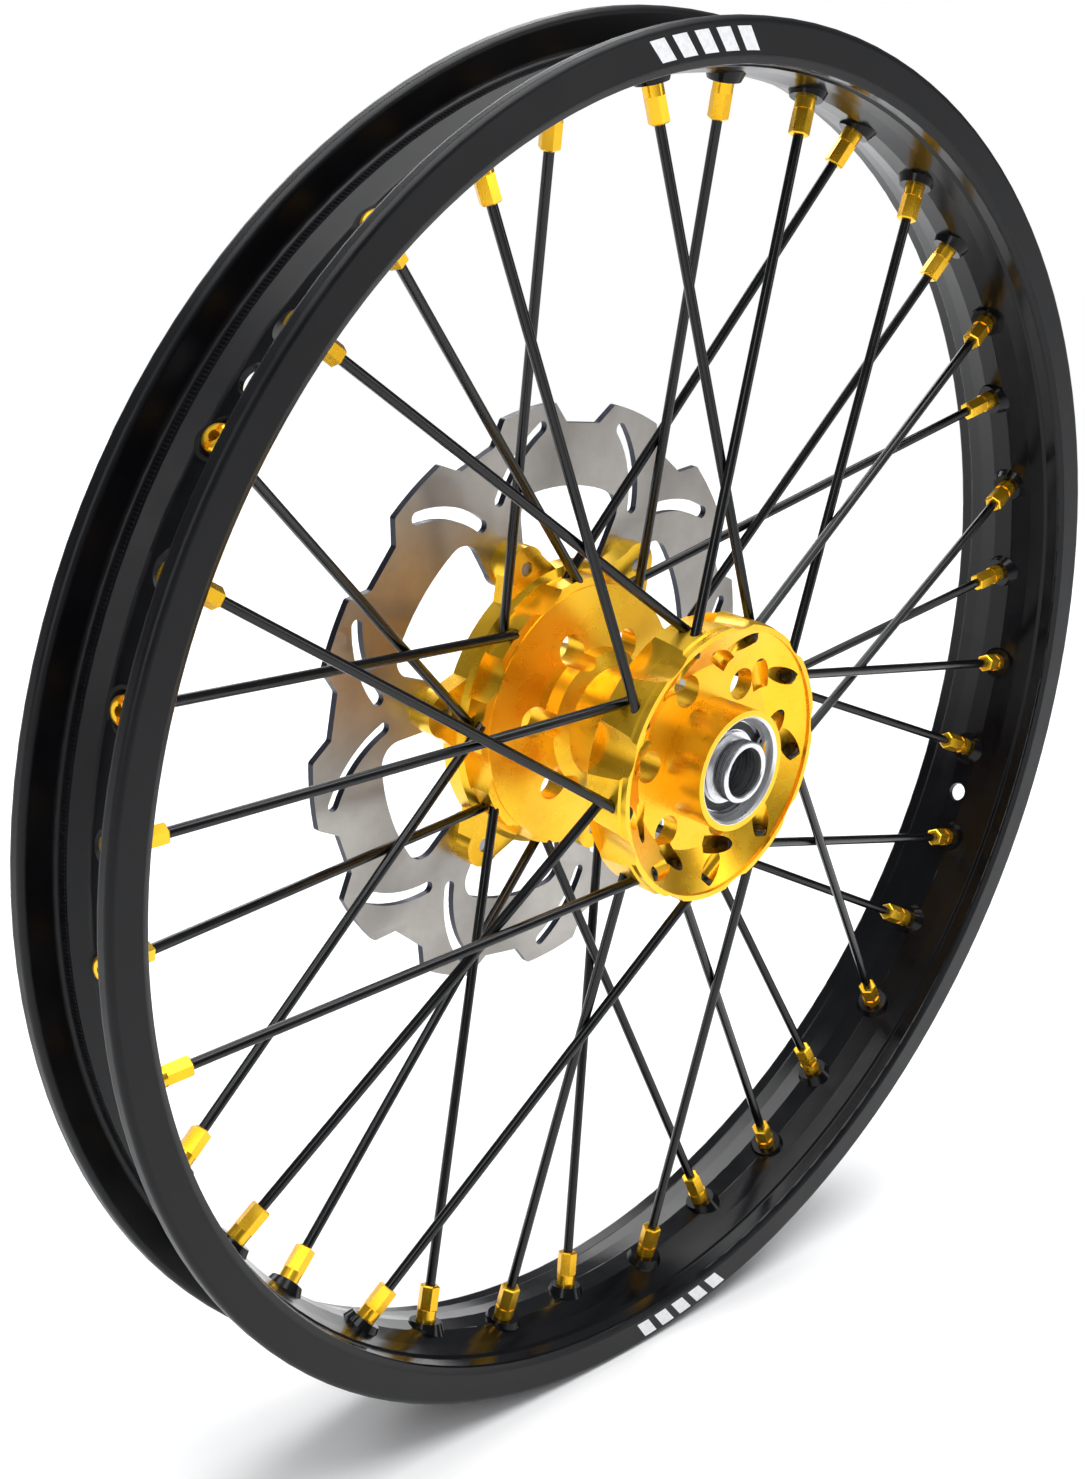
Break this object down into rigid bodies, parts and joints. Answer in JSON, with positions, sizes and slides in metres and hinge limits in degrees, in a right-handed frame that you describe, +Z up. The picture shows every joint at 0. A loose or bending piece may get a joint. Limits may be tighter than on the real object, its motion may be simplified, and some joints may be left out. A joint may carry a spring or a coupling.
{
  "type": "spoked motorcycle wheel",
  "caption": "Laced spoked front wheel with an aluminium rim, a billet hub, a wavy brake disc and sealed axle bearings.",
  "frame": {"origin": "the wheel's centre, where the axle axis meets the rim's middle plane", "axes": "+Y along the axle towards the brake disc, +Z up, +X forward"},
  "size_m": [0.558, 0.1179, 0.558],
  "materials": {
    "rim_black": "satin black anodised",
    "spoke_black": "satin black coated steel",
    "anodised_gold": "bright gold anodised",
    "disc_steel": "ground stainless",
    "bolt_steel": "zinc plated",
    "spacer_aluminium": "turned, clear anodised",
    "bearing_steel": "ground and hardened",
    "circlip_steel": "phosphated spring steel",
    "cage_plastic": "moulded",
    "seal_rubber": "moulded"
  },
  "bodies": {
    "axle_set": {"near_spacer": "spacer_aluminium", "far_spacer": "spacer_aluminium", "distance_tube": "spacer_aluminium", "near_bearing_inner_ring": "bearing_steel", "far_bearing_inner_ring": "bearing_steel"},
    "wheel": {"brake_disc": "disc_steel", "disc_bolts": "bolt_steel", "far_bearing_outer_ring": "bearing_steel", "far_bearing_seals": "seal_rubber", "far_circlip": "circlip_steel", "far_nipples": "anodised_gold", "far_spoke_01": "spoke_black", "far_spoke_02": "spoke_black", "far_spoke_03": "spoke_black", "far_spoke_04": "spoke_black", "far_spoke_05": "spoke_black", "far_spoke_06": "spoke_black", "far_spoke_07": "spoke_black", "far_spoke_08": "spoke_black", "far_spoke_09": "spoke_black", "far_spoke_10": "spoke_black", "far_spoke_11": "spoke_black", "far_spoke_12": "spoke_black", "far_spoke_13": "spoke_black", "far_spoke_14": "spoke_black", "far_spoke_15": "spoke_black", "far_spoke_16": "spoke_black", "far_spoke_17": "spoke_black", "far_spoke_18": "spoke_black", "hub": "anodised_gold", "near_bearing_outer_ring": "bearing_steel", "near_bearing_seals": "seal_rubber", "near_circlip": "circlip_steel", "near_nipples": "anodised_gold", "near_spoke_01": "spoke_black", "near_spoke_02": "spoke_black", "near_spoke_03": "spoke_black", "near_spoke_04": "spoke_black", "near_spoke_05": "spoke_black", "near_spoke_06": "spoke_black", "near_spoke_07": "spoke_black", "near_spoke_08": "spoke_black", "near_spoke_09": "spoke_black", "near_spoke_10": "spoke_black", "near_spoke_11": "spoke_black", "near_spoke_12": "spoke_black", "near_spoke_13": "spoke_black", "near_spoke_14": "spoke_black", "near_spoke_15": "spoke_black", "near_spoke_16": "spoke_black", "near_spoke_17": "spoke_black", "near_spoke_18": "spoke_black", "rim": "rim_black"},
    "near_ball_set": {"near_bearing_balls": "bearing_steel", "near_bearing_cage": "cage_plastic"},
    "far_ball_set": {"far_bearing_balls": "bearing_steel", "far_bearing_cage": "cage_plastic"}
  },
  "joints": [
    {"name": "wheel_spin", "type": "hinge", "parent": "axle_set", "child": "wheel", "pos_m": [0, 0, 0], "axis": [0, 1, 0], "continuous": true},
    {"name": "near_ball_spin", "type": "hinge", "parent": "axle_set", "child": "near_ball_set", "pos_m": [0, -0.0419, 0], "axis": [0, 1, 0], "continuous": true},
    {"name": "far_ball_spin", "type": "hinge", "parent": "axle_set", "child": "far_ball_set", "pos_m": [0, 0.0399, 0], "axis": [0, 1, 0], "continuous": true}
  ],
  "couplings": [
    {"joint": "near_ball_spin", "follows": "wheel_spin", "ratio": 0.5716},
    {"joint": "far_ball_spin", "follows": "wheel_spin", "ratio": 0.5716}
  ]
}
